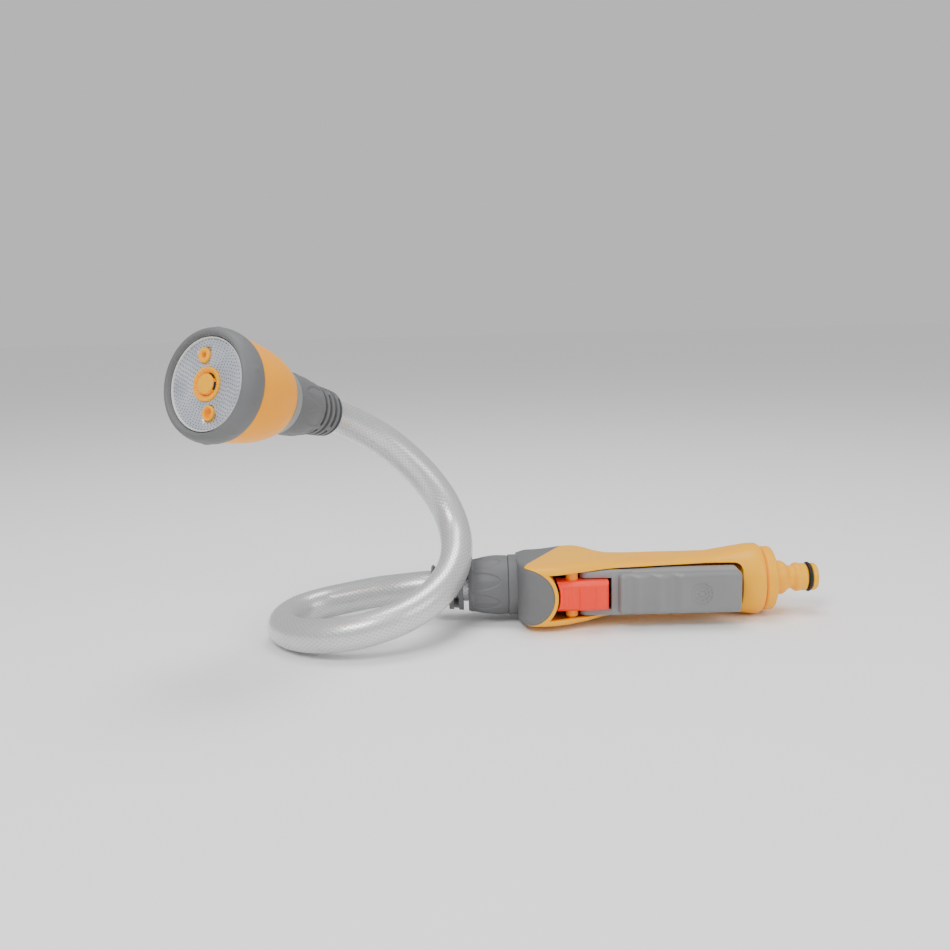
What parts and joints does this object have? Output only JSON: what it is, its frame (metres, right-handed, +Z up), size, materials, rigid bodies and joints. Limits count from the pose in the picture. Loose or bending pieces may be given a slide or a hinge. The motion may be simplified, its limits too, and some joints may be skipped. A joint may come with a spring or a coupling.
{
  "type": "watering wand",
  "caption": "Watering wand with a trigger handle, a bendable hose that holds its shape, a turning multi-pattern spray head and a quick-connect water inlet.",
  "frame": {"origin": "On the ground, under the middle of the box around handle and head, hose left out; the wand lies on its side with its hose looped up and over.", "axes": "+X along the handle towards the water inlet, -Y out of the trigger side, +Z up."},
  "size_m": [0.3436, 0.1413, 0.1744],
  "materials": {
    "yellow_shell": "moulded, softly glossy",
    "grey_housing": "fine spark-eroded grain",
    "dark_grey": "glass-filled nylon",
    "light_grey": "fine grain",
    "soft_grey": "soft-touch overmould",
    "red_plastic": "moulded",
    "orange_plastic": "moulded, softly glossy",
    "black_rubber": "moulded seal",
    "white_tube": "plain acetal",
    "steel": "turned",
    "brass": "turned",
    "hose": "clear vinyl over a diagonal braid",
    "wire": "drawn, annealed",
    "plated": "satin plated"
  },
  "bodies": {
    "handle": {"handle_shell": "yellow_shell", "nose_housing": "grey_housing", "inlet_spigot": "yellow_shell", "inlet_seal_ring": "black_rubber", "inlet_strainer": "steel", "inlet_tube": "white_tube", "outlet_tube": "dark_grey", "valve_body": "dark_grey", "valve_cap": "dark_grey", "stem_seal_ring": "black_rubber", "trigger_pin": "steel", "lock_pin": "orange_plastic", "handle_nut": "grey_housing", "handle_collet": "dark_grey", "hose_low": "hose", "wire_low": "wire"},
    "trigger": {"trigger_lever": "light_grey", "finger_pad": "soft_grey"},
    "stem": {"valve_stem": "brass", "valve_spring": "steel"},
    "lock": {"trigger_lock": "red_plastic"},
    "riser": {"hose_mid": "hose", "wire_mid": "wire"},
    "head": {"hose_top": "hose", "wire_top": "wire", "head_nut": "grey_housing", "head_collet": "dark_grey", "head_tail": "light_grey", "bowl": "orange_plastic", "bowl_seal_ring": "black_rubber", "distributor": "white_tube", "port_seal": "black_rubber", "detent_ball": "steel", "face_screw": "steel"},
    "spray_face": {"face_carrier": "dark_grey", "bezel": "grey_housing", "rose_plate": "plated", "cone_nozzle": "orange_plastic", "fine_jet": "orange_plastic", "flat_jet": "orange_plastic"}
  },
  "joints": [
    {"name": "trigger_squeeze", "type": "hinge", "parent": "handle", "child": "trigger", "pos_m": [0.03582, 0.02444, 0.0205], "axis": [0, 0, 1], "range_deg": [0, 7], "stiffness_Nm_per_rad": 4, "springref_deg": -5.73},
    {"name": "stem_push", "type": "slide", "parent": "handle", "child": "stem", "axis": [0, 1, 0], "range_m": [0, 0.0047]},
    {"name": "lock_rock", "type": "hinge", "parent": "handle", "child": "lock", "pos_m": [0.02732, 0.02194, 0.0205], "axis": [0, 0, 1], "range_deg": [0, 12]},
    {"name": "hose_bend_low", "type": "hinge", "parent": "handle", "child": "riser", "pos_m": [-0.03858, 0.04174, 0.057], "axis": [0.9238, 0.3829, 0], "range_deg": [-25, 25]},
    {"name": "hose_bend_high", "type": "hinge", "parent": "riser", "child": "head", "pos_m": [-0.08568, 0.03994, 0.1134], "axis": [-0.6112, 0.7915, 0], "range_deg": [-25, 25]},
    {"name": "spray_face_turn", "type": "hinge", "parent": "head", "child": "spray_face", "pos_m": [-0.14455, -0.04863, 0.14644], "axis": [-0.4922, -0.8322, 0.2554], "continuous": true}
  ],
  "couplings": [
    {"joint": "stem_push", "follows": "trigger_squeeze", "m_per_rad": 0.038}
  ]
}
